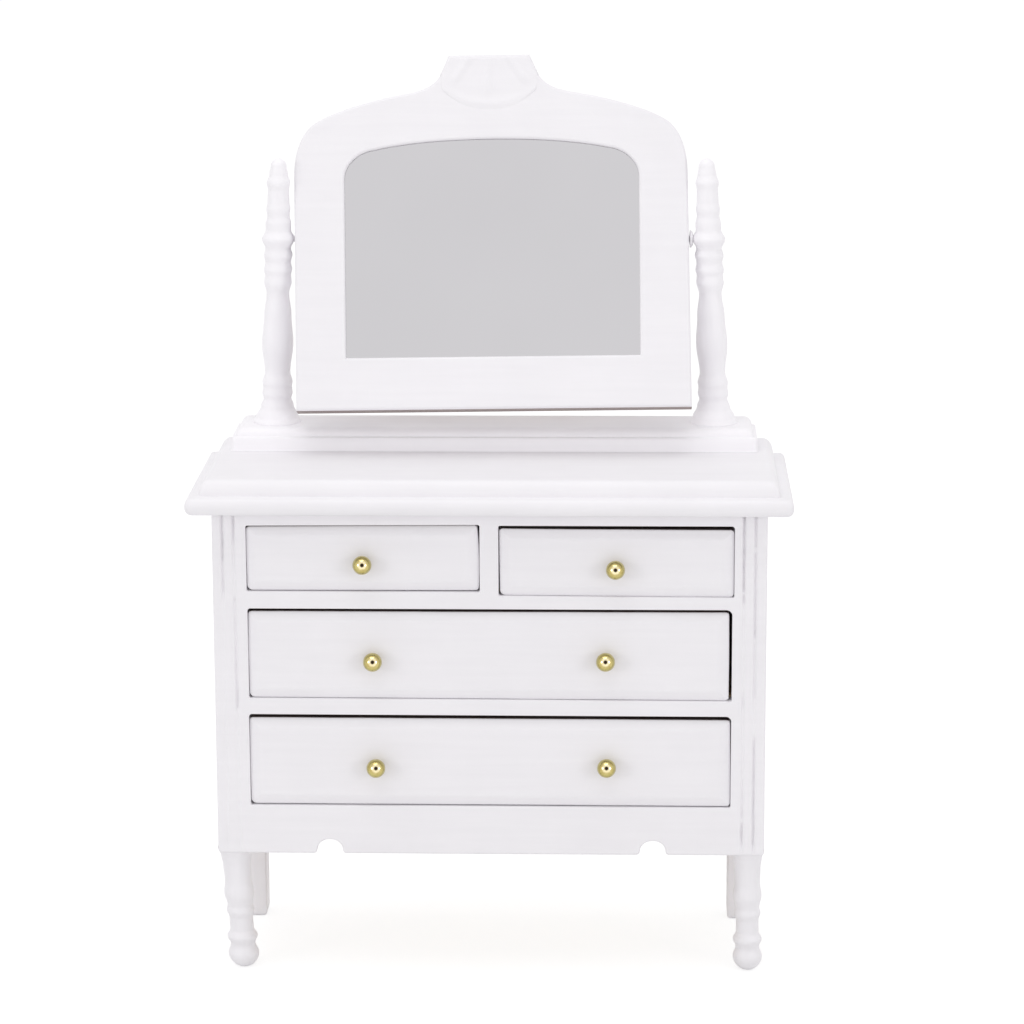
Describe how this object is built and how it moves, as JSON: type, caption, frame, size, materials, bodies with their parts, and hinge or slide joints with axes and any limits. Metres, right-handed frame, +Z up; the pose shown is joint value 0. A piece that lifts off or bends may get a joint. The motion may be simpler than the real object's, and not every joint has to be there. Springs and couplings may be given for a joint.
{
  "type": "miniature dressing table",
  "caption": "Dolls house dressing table: chest of drawers on turned legs with a tilting arched mirror between two turned posts.",
  "frame": {"origin": "on the floor, under the middle of the overall width and depth", "axes": "+Z up, the drawers face -Y, +X to the viewer's right"},
  "size_m": [0.102, 0.0454, 0.155],
  "materials": {
    "white_paint": "white satin paint on wood",
    "bare_wood": "bare, sanded",
    "mirror": "silvered glass",
    "brass": "polished"
  },
  "bodies": {
    "case": {"top_board": "white_paint", "back_panel": "white_paint", "side_panel_left": "white_paint", "side_panel_right": "white_paint", "front_post_left": "white_paint", "front_post_right": "white_paint", "rear_post_left": "white_paint", "rear_post_right": "white_paint", "front_leg_left": "white_paint", "front_leg_right": "white_paint", "apron": "white_paint", "middle_rail": "white_paint", "upper_rail": "white_paint", "top_rail": "white_paint", "partition": "white_paint", "shelf_bottom": "bare_wood", "shelf_middle": "bare_wood", "shelf_top": "bare_wood", "guide_bottom_left": "bare_wood", "guide_bottom_right": "bare_wood", "guide_middle_left": "bare_wood", "guide_middle_right": "bare_wood", "guide_top_left": "bare_wood", "guide_top_right": "bare_wood", "mirror_plinth": "white_paint", "mirror_post_left": "white_paint", "mirror_post_right": "white_paint"},
    "drawer_top_left": {"drawer_top_left_front": "white_paint", "drawer_top_left_side_left": "bare_wood", "drawer_top_left_side_right": "bare_wood", "drawer_top_left_back": "bare_wood", "drawer_top_left_bottom": "bare_wood", "knob_top_left": "brass"},
    "drawer_top_right": {"drawer_top_right_front": "white_paint", "drawer_top_right_side_left": "bare_wood", "drawer_top_right_side_right": "bare_wood", "drawer_top_right_back": "bare_wood", "drawer_top_right_bottom": "bare_wood", "knob_top_right": "brass"},
    "drawer_middle": {"drawer_middle_front": "white_paint", "drawer_middle_side_left": "bare_wood", "drawer_middle_side_right": "bare_wood", "drawer_middle_back": "bare_wood", "drawer_middle_bottom": "bare_wood", "knob_middle_left": "brass", "knob_middle_right": "brass"},
    "drawer_bottom": {"drawer_bottom_front": "white_paint", "drawer_bottom_side_left": "bare_wood", "drawer_bottom_side_right": "bare_wood", "drawer_bottom_back": "bare_wood", "drawer_bottom_bottom": "bare_wood", "knob_bottom_left": "brass", "knob_bottom_right": "brass"},
    "mirror": {"mirror_frame": "white_paint", "mirror_glass": "mirror", "mirror_backing": "bare_wood", "crest_shell": "white_paint", "pivot_pin_left": "white_paint", "pivot_pin_right": "white_paint"}
  },
  "joints": [
    {"name": "drawer_top_left_slide", "type": "slide", "parent": "case", "child": "drawer_top_left", "axis": [0, -1, 0], "range_m": [0, 0.026]},
    {"name": "drawer_top_right_slide", "type": "slide", "parent": "case", "child": "drawer_top_right", "axis": [0, -1, 0], "range_m": [0, 0.026]},
    {"name": "drawer_middle_slide", "type": "slide", "parent": "case", "child": "drawer_middle", "axis": [0, -1, 0], "range_m": [0, 0.026]},
    {"name": "drawer_bottom_slide", "type": "slide", "parent": "case", "child": "drawer_bottom", "axis": [0, -1, 0], "range_m": [0, 0.026]},
    {"name": "mirror_tilt", "type": "hinge", "parent": "case", "child": "mirror", "pos_m": [0, 0.01063, 0.1238], "axis": [-1, 0, 0], "range_deg": [-78, 42]}
  ]
}
